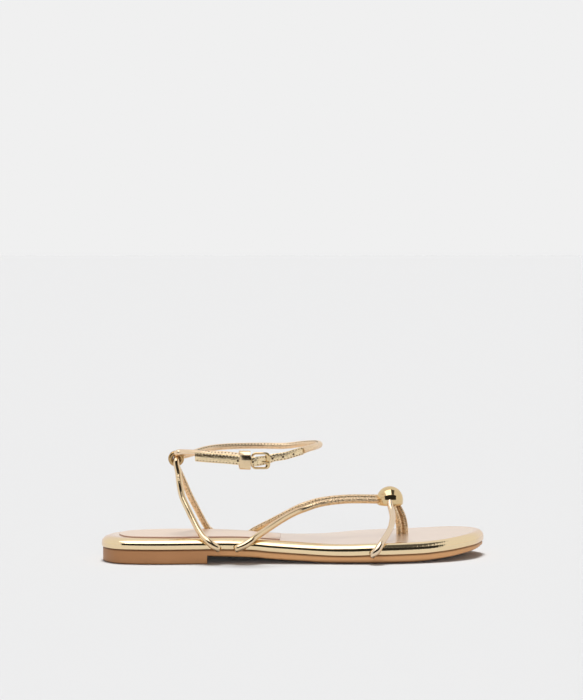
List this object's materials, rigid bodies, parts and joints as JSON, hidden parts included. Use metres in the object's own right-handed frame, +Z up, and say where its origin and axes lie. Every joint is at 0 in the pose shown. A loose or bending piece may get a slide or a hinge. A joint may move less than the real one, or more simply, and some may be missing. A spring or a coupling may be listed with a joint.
{
  "type": "flat thong sandal",
  "caption": "Flat thong sandal in metallic leather with rolled cord straps, a domed bead over the toes and a buckled ankle strap, for the right foot.",
  "frame": {"origin": "centre of the flat underside of the heel, on the floor", "axes": "+X from heel to toe, +Y to the inner side of the foot, +Z up"},
  "size_m": [0.25, 0.0912, 0.0754],
  "materials": {
    "moulded_tan": "smooth satin",
    "platform_gold": "metallic foil, glossy",
    "sock_rose_gold": "metallic foil, satin",
    "cord_gold": "metallic foil, glossy",
    "plated_metal": "polished plating"
  },
  "bodies": {
    "root": {"outsole": "moulded_tan", "platform": "platform_gold", "sock_lining": "sock_rose_gold", "heel_stay_cord": "cord_gold", "back_ring": "plated_metal", "ankle_strap_cord": "cord_gold", "ankle_strap_billet": "cord_gold", "keeper_loop": "cord_gold", "buckle_frame": "plated_metal", "buckle_prong": "plated_metal", "thong_cord_lateral": "cord_gold", "thong_cord_medial": "cord_gold", "forefoot_cord": "cord_gold", "bead": "plated_metal"}
  },
  "joints": []
}
